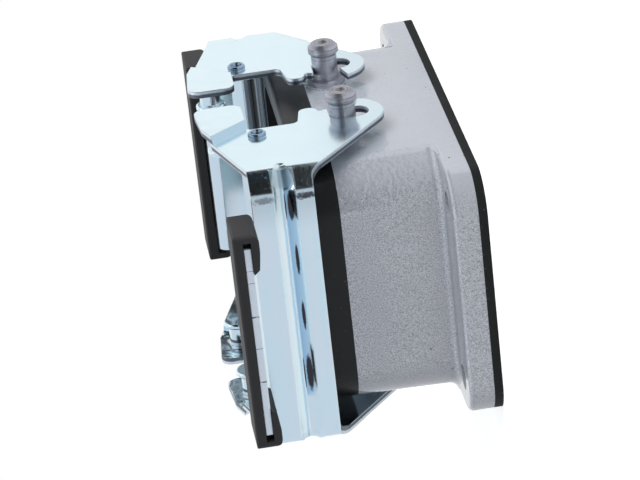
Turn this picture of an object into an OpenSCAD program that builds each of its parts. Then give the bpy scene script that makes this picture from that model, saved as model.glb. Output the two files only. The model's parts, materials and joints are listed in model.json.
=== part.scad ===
// Panel-mount heavy-duty connector housing with two locking levers.
// X runs along the flange, Y across it, Z up towards the mating side.
// The origin is the middle of the gasket's underside. All sizes are in millimetres.

/* [Flange] */
// Length of the flange
flange_l = 82; // [78:1:110]
// Width of the flange, and of the wall's foot, which is flush with its long sides
flange_w = 44; // [42:0.5:50]
// Thickness of the flange
flange_t = 4.2; // [3:0.1:6]
// Corner radius of the flange in plan
flange_corner_r = 6.5; // [4:0.5:8]
// Rounding of the flange's upper edge
flange_edge_r = 0.8; // [0.4:0.1:1.5]
// Distance of each mounting hole from the flange's end
screw_edge_x = 6; // [5:0.1:6.5]
// Distance of each mounting hole from the flange's long side
screw_edge_y = 6; // [5:0.1:7]
// Diameter of the mounting holes
screw_hole_d = 4.4; // [3.4:0.1:5.4]

/* [Wall] */
// Length of the flange beyond each end wall
ledge_l = 10.4; // [9.6:0.1:11]
// Thickness of the wall at its foot
wall_t = 4; // [3.4:0.1:5]
// Outer corner radius of the wall at its foot
wall_corner_r = 8; // [6:0.5:9]
// Height of the rim above the flange's back
rim_h = 21.55; // [20.5:0.05:26]
// Draft of the wall's outside, in degrees
wall_draft = 1; // [0.5:0.1:2]
// Radius of the fillet between the end walls and the flange
foot_fillet_r = 1.4; // [0.8:0.1:2.5]
// Thickness of the inner collar that carries the rim seal
collar_t = 1.6; // [1.2:0.1:2]
// Height of the inner collar above the rim
collar_h = 4.2; // [3:0.1:5]

/* [Insert bosses] */
// Distance of each insert screw from the bay's end
insert_edge_x = 4.6; // [4:0.1:5.5]
// Distance of each insert screw from the bay's long side
insert_edge_y = 4.5; // [4:0.1:5.5]
// Core diameter of the tapped insert holes
insert_hole_d = 3.3; // [2.5:0.1:4]
// Diameter of each boss
boss_d = 8; // [7:0.5:10]
// Height of the bosses above the flange's back
boss_h = 11; // [8:0.5:14]
// Depth of the tapped insert holes
insert_hole_depth = 8; // [6:0.5:10]

/* [Rim seal] */
// Height of the seal above the rim
seal_h = 5.9; // [5.2:0.1:7]
// Gap between the seal and the collar inside it
seal_fit = 0.05; // [0:0.01:0.2]
// Rounding of the seal's upper outer edge
seal_edge_r = 0.7; // [0.3:0.1:1]

/* [Flange gasket] */
// Thickness of the gasket
gasket_t = 1.5; // [0.8:0.1:2]
// Room between the housing's bay and the gasket's inner edge
gasket_relief = 0.8; // [0.2:0.1:1.5]
// Diameter of the gasket's screw holes
gasket_hole_d = 4.8; // [4.4:0.1:6]

/* [Pivot pins] */
// Distance of the pin axes from the middle of the housing
pin_x = 11.5; // [10:0.5:14]
// Depth of the pin axes below the rim
pin_drop = 4; // [3.7:0.1:5]
// Diameter of the shank pressed into the wall
pin_shank_d = 4; // [3:0.1:4.4]
// Diameter of the collar that sits on the wall
pin_collar_d = 6.5; // [5.5:0.1:7]
// Thickness of the collar
pin_collar_t = 1.1; // [0.6:0.1:1.5]
// Diameter of the neck that the lever turns on
pin_neck_d = 4.5; // [3.5:0.1:5]
// Length of the neck
pin_neck_l = 4.3; // [3.6:0.1:6]
// Diameter of the head
pin_head_d = 5.3; // [5.1:0.1:6.5]
// Thickness of the head
pin_head_t = 2.1; // [1.5:0.1:3]
// Chamfer round the pin head's outer face
pin_crown = 0.7; // [0.3:0.1:0.9]
// Chamfer on the head's edges
pin_chamfer = 0.4; // [0.2:0.1:0.7]
// Diameter of the centre hole in the head
pin_centre_d = 1.7; // [1:0.1:2.5]
// Depth of the centre hole
pin_centre_depth = 0.7; // [0.4:0.1:1.5]
// Radial gap between the pressed shank and its bore
pin_fit = 0.01; // [0:0.01:0.05]
// Room from the collar's edge to the edge of the cast pad under it
pad_margin = 0.35; // [0.2:0.05:0.6]

/* [Lever sheet] */
// Thickness of the lever's steel sheet
sheet_t = 1.2; // [1:0.1:1.5]
// Outer radius of the bends between the arms and the crossbar
bend_r = 3.5; // [2:0.1:4]
// Gap between each arm and the pin collar behind it
arm_gap = 0.85; // [0.6:0.05:1.6]
// Distance from the end wall's foot out to the crossbar's outer face
lever_room = 3.4; // [3:0.1:6]
// Height of the arm's lower corner at the bend above the pin axis
bend_low_w = 6.2; // [5:0.1:7]
// Height of the crossbar's lower edge above the pin axis
crossbar_low_w = 8.2; // [7.2:0.1:9]
// Radius of the curve that leads from the bend to the crossbar's lower edge
crossbar_curve_r = 1.5; // [0.5:0.1:2.5]
// Height of the stiffening bead above the pin axis
bead_w = 13.1; // [12:0.1:14]
// Width of the bead
bead_width = 3.6; // [3:0.1:4]
// Depth of the bead
bead_depth = 0.9; // [0.5:0.1:1.1]
// Loss of the bead's depth where it runs out round the bends
bead_fade = 0.75; // [0:0.05:0.8]

/* [Lever arms] */
// Radius of the round end below the pin
end_r = 6.2; // [5.5:0.1:7]
// Distance of the round end's centre below the pin axis
end_drop = 0.8; // [0:0.1:2]
// Length of the pivot slot
slot_l = 6.85; // [6:0.05:8]
// Radial running clearance between the slot and the pin's neck
slot_clearance = 0.08; // [0.03:0.01:0.2]
// Depth of the slot's mouth below the pin axis
mouth_down = 1.75; // [1:0.1:2]
// Distance from the pin axis out to the straight edge of the locking notch
notch_u = 1.4; // [0.5:0.1:3]
// Height of the locking notch's foot above the pin axis
notch_low_w = 7.9; // [7.5:0.1:9]
// Reach of the hooked nose from the pin axis towards the middle
nose_reach = 4.4; // [3.8:0.1:5.5]
// Thickness of the nose
nose_t = 2.9; // [2.8:0.1:3.2]
// Fall of the nose towards its tip
nose_fall = 0.9; // [0.4:0.1:1.2]
// Rounding of the nose's tip
nose_r = 1.4; // [1:0.1:1.4]
// Rounding in the foot of the locking notch
notch_r = 1.2; // [0.6:0.1:1.6]
// Height of the sloping lead at the top of the locking notch
notch_lead = 0.6; // [0.3:0.1:1]
// Reach of the lip above the slot's mouth beyond the slot
lip_reach = 0.75; // [0.4:0.05:1]
// Angle at which the round end stops below the slot's mouth, in degrees
lip_angle = 204; // [200:1:210]
// Distance of the hollow rivet outward from the pin axis
rivet_u = 4.5; // [4:0.1:8]
// Height of the hollow rivet above the pin axis
rivet_w = 15.2; // [14:0.1:17]
// Diameter of the rivet's head
rivet_d = 3.1; // [2.6:0.1:4]
// Height of the rivet's head above the arm
rivet_h = 0.7; // [0.5:0.1:1.5]
// Diameter of the hollow in the rivet
rivet_hollow_d = 2.1; // [1.5:0.1:2.4]
// Depth of the hollow
rivet_hollow_depth = 0.5; // [0.3:0.1:1]
// Chamfer of the rivet's rim
rivet_chamfer = 0.2; // [0.1:0.05:0.4]

/* [Lever tabs] */
// Distance of the joggle's lower end outward from the pin axis
joggle_low_u = 0.95; // [0.5:0.05:1.3]
// Height of the joggle's lower end above the pin axis
joggle_low_w = 16.6; // [16:0.1:18]
// Distance of the joggle's upper end outward from the pin axis
joggle_high_u = 5.95; // [5:0.05:8]
// Height of the joggle's upper end above the pin axis
joggle_high_w = 22.8; // [22:0.1:24]
// Step of the tab outward from the arm
joggle_step = 1.3; // [0.8:0.1:1.8]
// Run of the joggle's slope
joggle_run = 0.9; // [0.6:0.1:1.5]
// Length of the tab beyond the joggle
tab_l = 11.8; // [10:0.1:12]
// Distance that the tab's upper shoulder comes in from the joggle's end
tab_high_inset = 1.6; // [0.8:0.1:2.2]
// Distance that the tab's lower corner reaches past the joggle's lower end
tab_low_flare = 5.3; // [4:0.1:5.5]
// Place of the tab's tip inside the joggle's lower end, at its upper corner
tab_tip_high = 1.2; // [0.8:0.1:2]
// Rounding of the tab's corners
tab_r = 2; // [1:0.1:2]
// Distance of the locking stud from the pin axis towards the middle
stud_reach = 1.3; // [0.5:0.1:2]
// Height of the locking stud above the pin axis
stud_w = 20.8; // [20:0.1:21.5]
// Diameter of the stud's neck
stud_neck_d = 3.6; // [2.5:0.1:4]
// Length of the stud's neck on the inner side of the tab
stud_neck_l = 3.6; // [2:0.1:4]
// Diameter of the stud's head
stud_head_d = 5.2; // [4.5:0.1:6]
// Thickness of the stud's head
stud_head_t = 1; // [0.8:0.1:1.2]
// Chamfer on the stud's head
stud_chamfer = 0.25; // [0.1:0.05:0.4]

/* [Lever grip flange] */
// Length of the grip flange along the crossbar
tongue_l = 34.2; // [30:0.2:36]
// Reach of the flange beyond the crossbar's outer face
tongue_reach = 9.1; // [6:0.1:10]
// Height of the flange's underside above the pin axis
tongue_w = 20.25; // [20:0.05:22]
// Inner radius of the flange's bend
tongue_bend_r = 1; // [0.6:0.1:1.5]

/* [Grip] */
// Length of the grip
grip_l = 38.8; // [38:0.2:44]
// Room between the flange's edge and the grip's outer face
grip_cover = 0.6; // [0.3:0.1:1.2]
// Thickness of the grip's upper bar
grip_bar_t = 1.7; // [1.5:0.1:3]
// Thickness of the grip's end caps below the steel
grip_cap_t = 1.4; // [1.2:0.1:2.4]
// Length of each end cap
grip_cap_l = 7; // [6:0.1:12]
// Gap between the grip and the steel
grip_fit = 0.05; // [0:0.01:0.15]
// Rounding of the grip's outer edges
grip_edge_r = 0.6; // [0.4:0.1:0.9]
// Rounding of the grip's lower end corners
grip_toe_r = 1.5; // [0.8:0.1:1.8]
// Rounding of the grip's edges on the side of the crossbar
grip_back_r = 0.4; // [0.2:0.1:0.6]
// Corner radius of the grip's outer side in plan
grip_corner_r = 1; // [0.5:0.1:2.5]
// Room between the grip's back and the crossbar
grip_back_gap = 0.3; // [0.1:0.1:0.6]
// Room between the ends of the steel and the ends of the grip's slot
grip_slot_room = 1.1; // [0.3:0.1:1.5]
// Length of the slope where an end cap thins out towards the middle
cap_ramp_l = 4; // [3:0.1:4.5]
// Thickness that the slope takes off the end cap
cap_ramp_t = 0.4; // [0.2:0.1:0.7]
// Lean of the end cap's inner end
cap_lean = 0.8; // [0.2:0.1:1.2]

/* [Hidden] */
$fn = 64;
eps = 0.02;
overlap = 0.3;
far = 200;

flange_z = gasket_t;
flange_top_z = flange_z + flange_t;
rim_z = flange_z + rim_h;
pin_z = rim_z - pin_drop;
collar_top_z = rim_z + collar_h;
seal_top_z = rim_z + seal_h;

screw_dx = flange_l - 2 * screw_edge_x;
screw_dy = flange_w - 2 * screw_edge_y;
wall_l = flange_l - 2 * ledge_l;
flange_cx = flange_l / 2 - flange_corner_r;
flange_cy = flange_w / 2 - flange_corner_r;
wall_cx = wall_l / 2 - wall_corner_r;
wall_cy = flange_w / 2 - wall_corner_r;
bay_r = wall_corner_r - wall_t;
bay_l = wall_l - 2 * wall_t;
bay_w = flange_w - 2 * wall_t;
insert_dx = bay_l - 2 * insert_edge_x;
insert_dy = bay_w - 2 * insert_edge_y;
collar_r = bay_r + collar_t;
rim_r = wall_corner_r - (rim_h - flange_t) * tan(wall_draft);

pin_seat_y = flange_w / 2;
collar_face_y = pin_seat_y + pin_collar_t;
neck_end_y = collar_face_y + pin_neck_l;
pad_r = pin_collar_d / 2 + pad_margin;
arm_inner_v = collar_face_y + arm_gap;
arm_outer_v = arm_inner_v + sheet_t;

crossbar_u = wall_l / 2 + lever_room - pin_x;
bend_u = crossbar_u - bend_r;
bend_v = arm_outer_v - bend_r;
bead_r = (pow(bead_width / 2, 2) + pow(bead_depth, 2)) / (2 * bead_depth);
bead_out = bead_r - bead_depth;
slot_r = pin_neck_d / 2 + slot_clearance;
slot_drop = slot_l - 2 * slot_r;
joggle_angle = atan2(joggle_high_w - joggle_low_w, joggle_high_u - joggle_low_u);
joggle_l = norm([joggle_high_u - joggle_low_u, joggle_high_w - joggle_low_w]);
// Small details of the arm's hook: how far the lip's root drops, and its roundings
lip_drop = 0.2;
lip_root_r = 0.5;
lip_r = 0.35;
// Overlap of the tab's root, and its shoulder and lower corner as shares of its length
tab_root = 1.2;
tab_high_share = 0.36;
tab_low_share = 0.56;
// Rounding where the grip's end caps start to thin out
cap_ramp_r = 3;
tab_inner_v = arm_inner_v + joggle_step;
tongue_u = crossbar_u + tongue_reach;
tongue_top_w = tongue_w + sheet_t;
tongue_c = [crossbar_u + tongue_bend_r, tongue_w - tongue_bend_r];

grip_u = tongue_u + grip_cover;
grip_top_w = tongue_top_w + grip_fit + grip_bar_t;
grip_low_w = tongue_w - grip_fit - grip_cap_t;
grip_back_u = crossbar_u + grip_back_gap;
bend_high_w = grip_low_w - grip_fit;

sides = [-1, 1];

// Outline helpers. A corner is [x, y, radius].
function unit(v) = v / norm(v);
function arc_points(centre, r, from, to, steps = 12) =
    [for (i = [0 : steps]) let (a = from + (to - from) * i / steps) centre + r * [cos(a), sin(a)]];
function turn(from, to) = (to - from + 540) % 360 - 180;
function round_corner(before, here, after, steps) =
    let (
        p = [here[0], here[1]],
        back = unit([before[0], before[1]] - p),
        ahead = unit([after[0], after[1]] - p),
        half = acos(back * ahead) / 2,
        centre = p + unit(back + ahead) * here[2] / sin(half),
        first = p + back * here[2] / tan(half) - centre,
        last = p + ahead * here[2] / tan(half) - centre,
        from = atan2(first[1], first[0])
    )
    here[2] == 0 ? [p] : arc_points(centre, here[2], from, from + turn(from, atan2(last[1], last[0])), steps);
function rounded(corners, steps = 6) =
    let (n = len(corners))
    [for (i = [0 : n - 1])
        each round_corner(corners[(i + n - 1) % n], corners[i], corners[(i + 1) % n], steps)];

// Sweeps a section round a rectangle with round corners.
// The section's x is the distance from the corner centres.
module around(cx, cy) {
    for (i = [0 : 3]) {
        long_side = i % 2 == 0;
        run = long_side ? cx : cy;
        out = long_side ? cy : cx;
        rotate([0, 0, 90 * i + 90])
            translate([out, run, 0])
                rotate([90, 0, 0])
                    linear_extrude(2 * run) children();
        rotate([0, 0, 90 * i + 90])
            translate([out, run, 0])
                rotate_extrude(angle = 90) children();
    }
}

// A plate with round corners in plan
module plate(cx, cy, r, h) {
    around(cx, cy) square([r, h]);
    translate([-cx, -cy, 0]) cube([2 * cx, 2 * cy, h]);
}

module at_corners(dx, dy) {
    for (x = sides, y = sides) translate([x * dx / 2, y * dy / 2, 0]) children();
}

// Flange section with a rounded upper edge
module flange_section() {
    square([flange_corner_r, flange_t - flange_edge_r]);
    square([flange_corner_r - flange_edge_r, flange_t]);
    translate([flange_corner_r - flange_edge_r, flange_t - flange_edge_r]) circle(flange_edge_r);
}

module flange() {
    translate([0, 0, flange_z]) {
        around(flange_cx, flange_cy) flange_section();
        translate([-flange_cx, -flange_cy, 0]) cube([2 * flange_cx, 2 * flange_cy, flange_t]);
    }
}

// Drafted wall with the collar on top of it; the foot is flush with the flange's long sides
module wall() {
    around(wall_cx, wall_cy)
        polygon([
            [bay_r, flange_z], [wall_corner_r, flange_z], [wall_corner_r, flange_top_z], [rim_r, rim_z],
            [collar_r, rim_z], [collar_r, collar_top_z], [bay_r, collar_top_z]
        ]);
}

module fillet_section() {
    translate([wall_corner_r, flange_top_z])
        difference() {
            translate([-overlap, -overlap]) square(foot_fillet_r + overlap);
            translate([foot_fillet_r, foot_fillet_r]) circle(foot_fillet_r);
        }
}

// Concave fillets where the end walls and their corners meet the flange
module foot_fillets() {
    intersection() {
        for (x = sides) mirror([x < 0 ? 1 : 0, 0, 0]) {
            translate([wall_cx, wall_cy, 0])
                rotate([90, 0, 0]) linear_extrude(2 * wall_cy) fillet_section();
            for (y = sides) mirror([0, y < 0 ? 1 : 0, 0])
                translate([wall_cx, wall_cy, 0]) rotate_extrude(angle = 80) fillet_section();
        }
        translate([-flange_l / 2, -flange_w / 2, 0]) cube([flange_l, flange_w, rim_z]);
    }
}

// Posts in the corners of the bay that carry the contact insert
module insert_bosses() {
    for (x = sides, y = sides) mirror([x < 0 ? 1 : 0, 0, 0]) mirror([0, y < 0 ? 1 : 0, 0])
        translate([insert_dx / 2, insert_dy / 2, flange_z]) {
            cylinder(d = boss_d, h = boss_h);
            translate([0, -boss_d / 2, 0]) cube([bay_l / 2 - insert_dx / 2 + overlap, boss_d, boss_h]);
            translate([-boss_d / 2, 0, 0]) cube([boss_d, bay_w / 2 - insert_dy / 2 + overlap, boss_h]);
            cube([bay_l / 2 - insert_dx / 2 + overlap, bay_w / 2 - insert_dy / 2 + overlap, boss_h]);
        }
}

// Places a shape drawn along +Z onto a pin axis, pointing out of the housing
module on_pin_axis(x, y) {
    translate([x * pin_x, 0, pin_z]) rotate([-90 * y, 0, 0]) children();
}

module housing_body() {
    color("#a3a7ab")
    difference() {
        union() {
            difference() {
                union() {
                    flange();
                    wall();
                    foot_fillets();
                    for (x = sides, y = sides) on_pin_axis(x, y)
                        translate([0, 0, pin_seat_y - wall_t + eps]) cylinder(r = pad_r, h = wall_t - eps);
                }
                translate([0, 0, flange_z - eps]) plate(wall_cx, wall_cy, bay_r, rim_h + collar_h + 1);
            }
            insert_bosses();
        }
        translate([0, 0, -eps]) at_corners(screw_dx, screw_dy)
            cylinder(d = screw_hole_d, h = flange_top_z + 1);
        translate([0, 0, flange_z + boss_h - insert_hole_depth]) at_corners(insert_dx, insert_dy)
            cylinder(d = insert_hole_d, h = insert_hole_depth + 1);
        for (x = sides, y = sides) on_pin_axis(x, y)
            translate([0, 0, pin_seat_y - wall_t - 1])
                cylinder(r = pin_shank_d / 2 + pin_fit, h = wall_t + 2);
    }
}

module rim_seal() {
    color("#1c1e20")
    around(wall_cx, wall_cy)
        union() {
            translate([collar_r + seal_fit, rim_z])
                square([rim_r - collar_r - seal_fit, seal_h - seal_edge_r]);
            translate([bay_r, collar_top_z + seal_fit])
                square([rim_r - seal_edge_r - bay_r, seal_top_z - collar_top_z - seal_fit]);
            translate([rim_r - seal_edge_r, seal_top_z - seal_edge_r]) circle(seal_edge_r);
        }
}

module flange_gasket() {
    color("#232527")
    difference() {
        plate(flange_cx, flange_cy, flange_corner_r, gasket_t);
        translate([0, 0, -1]) plate(wall_cx, wall_cy, bay_r + gasket_relief, gasket_t + 2);
        translate([0, 0, -1]) at_corners(screw_dx, screw_dy) cylinder(d = gasket_hole_d, h = gasket_t + 2);
    }
}

// Turned pin, drawn with its axis along Z and the seat of its collar at the wall's face
module pivot_pin(x, y) {
    color("#716d72")
    on_pin_axis(x, y)
        rotate_extrude()
            polygon([
                [0, pin_seat_y - wall_t + eps], [pin_shank_d / 2, pin_seat_y - wall_t + eps],
                [pin_shank_d / 2, pin_seat_y], [pin_collar_d / 2, pin_seat_y],
                [pin_collar_d / 2, collar_face_y - pin_chamfer / 2],
                [pin_collar_d / 2 - pin_chamfer / 2, collar_face_y],
                [pin_neck_d / 2, collar_face_y], [pin_neck_d / 2, neck_end_y],
                [pin_head_d / 2, neck_end_y + pin_chamfer],
                [pin_head_d / 2, neck_end_y + pin_head_t - pin_crown],
                [pin_head_d / 2 - pin_crown, neck_end_y + pin_head_t],
                [pin_centre_d / 2, neck_end_y + pin_head_t],
                [0, neck_end_y + pin_head_t - pin_centre_depth]
            ]);
}

// The lever is drawn about its own pin axis: u outward along the housing, v across it, w up.
// Turns an outline of [u, w] into a prism across the lever.
module across(from_v, to_v) {
    translate([0, to_v, 0]) rotate([90, 0, 0]) linear_extrude(to_v - from_v) children();
}

// Filled plan of the folded sheet, inset from its outside
module fold_plan(inset) {
    v = arm_outer_v - inset;
    u = crossbar_u - inset;
    translate([-far, -v]) square([far + bend_u, 2 * v]);
    translate([0, -bend_v]) square([u, 2 * bend_v]);
    for (y = sides) translate([bend_u, y * bend_v]) circle(bend_r - inset);
}

// Side outline of the folded sheet: round end, bend, joggle line, notch, nose and slot mouth
module arm_outline() {
    centre = [0, -end_drop];
    reach = [bend_u, bend_low_w] - centre;
    tangent = atan2(reach[1], reach[0]) - acos(end_r / norm(reach));
    nose_high_w = notch_low_w - nose_fall;
    nose_low_w = nose_high_w - nose_t;
    polygon(concat(
        arc_points(centre, end_r, lip_angle, 360 + tangent, 24),
        rounded([
            [bend_u, bend_low_w, 0],
            [crossbar_u - sheet_t, crossbar_low_w, crossbar_curve_r],
            [crossbar_u + 1, crossbar_low_w, 0],
            [crossbar_u + 1, bend_high_w, 0],
            [bend_u, bend_high_w, 0],
            [joggle_high_u, joggle_high_w, 0],
            [joggle_low_u, joggle_low_w, 0],
            [notch_u, joggle_low_w - notch_lead, 0],
            [notch_u, notch_low_w, notch_r],
            [-nose_reach, nose_high_w, nose_r],
            [-nose_reach, nose_low_w, nose_r],
            [-slot_r, nose_low_w - lip_drop, lip_root_r],
            [-slot_r - lip_reach, slot_r, lip_r],
            [0, slot_r, 0],
            [0, -mouth_down, 0]
        ])
    ));
}

module folded_sheet() {
    intersection() {
        linear_extrude(far, center = true)
            difference() {
                fold_plan(0);
                fold_plan(sheet_t);
            }
        across(-far, far) arm_outline();
    }
}

// Bead section swept along the crossbar, round both bends and out into the arms
module bead(r) {
    translate([crossbar_u + bead_out, bend_v, bead_w]) rotate([90, 0, 0]) cylinder(r = r, h = 2 * bend_v);
    for (y = sides) mirror([0, y < 0 ? 1 : 0, 0])
        translate([bend_u - bead_fade, bend_v, bead_w]) {
            rotate_extrude(angle = 90) translate([bend_r + bead_out + bead_fade, 0]) circle(r);
            translate([0, bend_r + bead_out + bead_fade, 0]) sphere(r);
        }
}

module bead_ridge() {
    intersection() {
        bead(bead_r + sheet_t);
        translate([0, 0, bead_w - far / 2]) linear_extrude(far) fold_plan(0);
    }
}

// Quarter ring of the bend between the crossbar and its outward flange
module tongue_bend(outer_r, inner_r) {
    translate(tongue_c)
        intersection() {
            difference() {
                circle(outer_r);
                circle(inner_r);
            }
            translate([-outer_r, 0]) square(outer_r);
        }
}

// Outward flange on top of the crossbar that holds the grip
module tongue() {
    root_w = bead_w + bead_width / 2;
    across(-tongue_l / 2, tongue_l / 2) {
        translate([crossbar_u - sheet_t, root_w]) square([sheet_t, tongue_c[1] - root_w]);
        tongue_bend(tongue_bend_r + sheet_t, tongue_bend_r);
        translate([tongue_c[0], tongue_w]) square([tongue_u - tongue_c[0], sheet_t]);
    }
}

// Tab beyond the joggle, drawn with its root line along X
module tab_outline() {
    polygon(rounded([
        [0, -tab_root, 0], [joggle_l, -tab_root, 0], [joggle_l, 0, 0],
        [joggle_l - tab_high_inset, tab_l * tab_high_share, tab_r], [tab_tip_high, tab_l, tab_r],
        [-tab_low_flare, tab_l * tab_low_share, tab_r], [0, 0, 0]
    ]));
}

// Section of the joggle: x away from the root line, y outward from the arm's outer face
module joggle_section() {
    shift = sheet_t * tan(atan2(joggle_step, joggle_run) / 2);
    polygon([
        [-far, 0], [0, 0], [joggle_run, joggle_step], [far, joggle_step],
        [far, joggle_step - sheet_t], [joggle_run + shift, joggle_step - sheet_t],
        [shift, -sheet_t], [-far, -sheet_t]
    ]);
}

module tab() {
    translate([joggle_low_u, arm_outer_v, joggle_low_w])
        rotate([0, -joggle_angle, 0])
            rotate([90, 0, 0])
                intersection() {
                    linear_extrude(far, center = true) tab_outline();
                    rotate([90, 0, 90]) linear_extrude(far, center = true) mirror([0, 1]) joggle_section();
                }
}

// Hollow rivet on the outer face of an arm
module arm_rivet() {
    r = rivet_d / 2;
    hollow_r = rivet_hollow_d / 2;
    translate([rivet_u, arm_outer_v, rivet_w])
        rotate([-90, 0, 0])
            rotate_extrude()
                polygon([
                    [0, -sheet_t / 2], [r, -sheet_t / 2], [r, rivet_h - rivet_chamfer],
                    [r - rivet_chamfer, rivet_h], [hollow_r, rivet_h],
                    [hollow_r - rivet_chamfer, rivet_h - rivet_hollow_depth],
                    [0, rivet_h - rivet_hollow_depth]
                ]);
}

// Headed stud on the inner side of a tab
module tab_stud() {
    root = sheet_t / 2;
    neck_r = stud_neck_d / 2;
    head_r = stud_head_d / 2;
    head_top = stud_neck_l + stud_head_t;
    translate([-stud_reach, tab_inner_v, stud_w])
        rotate([90, 0, 0])
            rotate_extrude()
                polygon([
                    [0, -root], [neck_r, -root], [neck_r, stud_neck_l],
                    [head_r - stud_chamfer, stud_neck_l], [head_r, stud_neck_l + stud_chamfer],
                    [head_r, head_top - stud_chamfer], [head_r - stud_chamfer, head_top], [0, head_top]
                ]);
}

module locking_lever() {
    difference() {
        union() {
            folded_sheet();
            bead_ridge();
            tongue();
            for (y = sides) mirror([0, y < 0 ? 1 : 0, 0]) {
                tab();
                tab_stud();
                arm_rivet();
            }
        }
        bead(bead_r);
        for (w = [-slot_drop, 0])
            translate([0, far / 2, w]) rotate([90, 0, 0]) cylinder(r = slot_r, h = far);
        translate([-slot_r, -far / 2, -slot_drop]) cube([2 * slot_r, far, slot_drop]);
    }
}

// Moulded grip: a full-length bar above the steel, closed ends and a tapered cap below each end
module lever_grip() {
    half = grip_l / 2;
    slot_half = tongue_l / 2 + grip_slot_room;
    cap_start = half - grip_cap_l;
    ramp_end = cap_start + cap_ramp_l;
    toe = cap_start + cap_lean;
    toe_w = grip_low_w + cap_ramp_t;
    slot_low = tongue_w - grip_fit;
    slot_high = tongue_top_w + grip_fit;
    difference() {
        intersection() {
            rotate([90, 0, 90]) linear_extrude(far)
                polygon(rounded([
                    [-half, grip_top_w, grip_edge_r], [half, grip_top_w, grip_edge_r],
                    [half, grip_low_w, grip_toe_r], [ramp_end, grip_low_w, cap_ramp_r],
                    [toe, toe_w, grip_back_r], [cap_start, slot_low, 0], [cap_start, slot_high, 0],
                    [-cap_start, slot_high, 0], [-cap_start, slot_low, 0], [-toe, toe_w, grip_back_r],
                    [-ramp_end, grip_low_w, cap_ramp_r], [-half, grip_low_w, grip_toe_r]
                ]));
            linear_extrude(far)
                polygon(rounded([
                    [grip_back_u, -half, grip_back_r], [grip_u, -half, grip_corner_r],
                    [grip_u, half, grip_corner_r], [grip_back_u, half, grip_back_r]
                ]));
            across(-far / 2, far / 2)
                polygon(rounded([
                    [grip_back_u, grip_low_w, grip_back_r], [grip_u, grip_low_w, grip_edge_r],
                    [grip_u, grip_top_w, grip_edge_r], [grip_back_u, grip_top_w, grip_back_r]
                ]));
        }
        translate([tongue_c[0], -slot_half, slot_low]) cube([far, 2 * slot_half, slot_high - slot_low]);
        across(-slot_half, slot_half) {
            tongue_bend(tongue_bend_r + sheet_t + grip_fit, tongue_bend_r - grip_fit);
            translate([tongue_c[0] - eps, slot_low]) square([2 * eps, slot_high - slot_low]);
        }
    }
}

// Puts a piece drawn about a lever's pin axis on the right or left side
module on_lever_axis(side) {
    rotate([0, 0, side > 0 ? 0 : 180]) translate([pin_x, 0, pin_z]) children();
}

module pivot_pin_right_front() { pivot_pin(1, -1); }
module pivot_pin_right_rear() { pivot_pin(1, 1); }
module pivot_pin_left_front() { pivot_pin(-1, -1); }
module pivot_pin_left_rear() { pivot_pin(-1, 1); }
module locking_lever_right() { color("#cbd8e1") on_lever_axis(1) locking_lever(); }
module locking_lever_left() { color("#cbd8e1") on_lever_axis(-1) locking_lever(); }
module lever_grip_right() { color("#2b2b2e") on_lever_axis(1) lever_grip(); }
module lever_grip_left() { color("#2b2b2e") on_lever_axis(-1) lever_grip(); }

housing_body();
rim_seal();
flange_gasket();
pivot_pin_right_front();
pivot_pin_right_rear();
pivot_pin_left_front();
pivot_pin_left_rear();
locking_lever_right();
locking_lever_left();
lever_grip_right();
lever_grip_left();
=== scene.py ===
"""Finishes a panel-mount connector housing and sets it on a plain studio stage.

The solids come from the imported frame. This add-on gives each one its finish, winds visible threads into the
insert bosses and sets up the floor, the light and the camera.
"""

import json
import math

import bmesh
import bpy
from bpy.props import FloatProperty, FloatVectorProperty, IntProperty, PointerProperty
from mathutils import Matrix, Vector


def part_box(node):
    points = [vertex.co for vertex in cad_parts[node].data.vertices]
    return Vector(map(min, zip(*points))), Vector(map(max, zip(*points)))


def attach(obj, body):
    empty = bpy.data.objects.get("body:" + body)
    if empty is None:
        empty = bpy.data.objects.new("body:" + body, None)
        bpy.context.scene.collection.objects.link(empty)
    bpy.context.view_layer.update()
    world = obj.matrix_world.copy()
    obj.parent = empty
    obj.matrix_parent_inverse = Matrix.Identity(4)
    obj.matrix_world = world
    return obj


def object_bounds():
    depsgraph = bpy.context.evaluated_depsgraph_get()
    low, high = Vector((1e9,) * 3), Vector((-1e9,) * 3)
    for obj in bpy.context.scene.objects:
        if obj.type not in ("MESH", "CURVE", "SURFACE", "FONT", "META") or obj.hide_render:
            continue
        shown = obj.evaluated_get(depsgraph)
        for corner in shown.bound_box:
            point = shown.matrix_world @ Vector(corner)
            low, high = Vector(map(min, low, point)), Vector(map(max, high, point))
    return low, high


bl_info = {
    "name": "Connector Housing Finish",
    "version": (1, 0, 0),
    "blender": (4, 5, 0),
    "location": "View3D > Sidebar > Housing",
    "description": "Finishes and stages a panel-mount connector housing with two locking levers",
    "category": "Object",
}

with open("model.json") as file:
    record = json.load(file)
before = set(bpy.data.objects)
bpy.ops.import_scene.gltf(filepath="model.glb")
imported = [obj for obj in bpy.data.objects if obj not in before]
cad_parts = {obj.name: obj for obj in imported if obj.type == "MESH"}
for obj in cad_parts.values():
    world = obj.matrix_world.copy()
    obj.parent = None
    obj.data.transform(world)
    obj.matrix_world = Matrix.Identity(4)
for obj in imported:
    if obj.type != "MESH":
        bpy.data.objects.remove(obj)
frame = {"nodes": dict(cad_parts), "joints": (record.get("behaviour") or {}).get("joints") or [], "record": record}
NODES = frame["nodes"]
CAD_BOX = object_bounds()
MM = 0.001

PINS = ["pivot_pin_right_front", "pivot_pin_right_rear", "pivot_pin_left_front", "pivot_pin_left_rear"]
LEVERS = ["locking_lever_right", "locking_lever_left"]
GRIPS = ["lever_grip_right", "lever_grip_left"]


def entry(rows, name):
    """The row of that name in one of the frame's lists."""
    for row in rows:
        if row["name"] == name:
            return row
    raise RuntimeError("the frame has no " + name)


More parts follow.
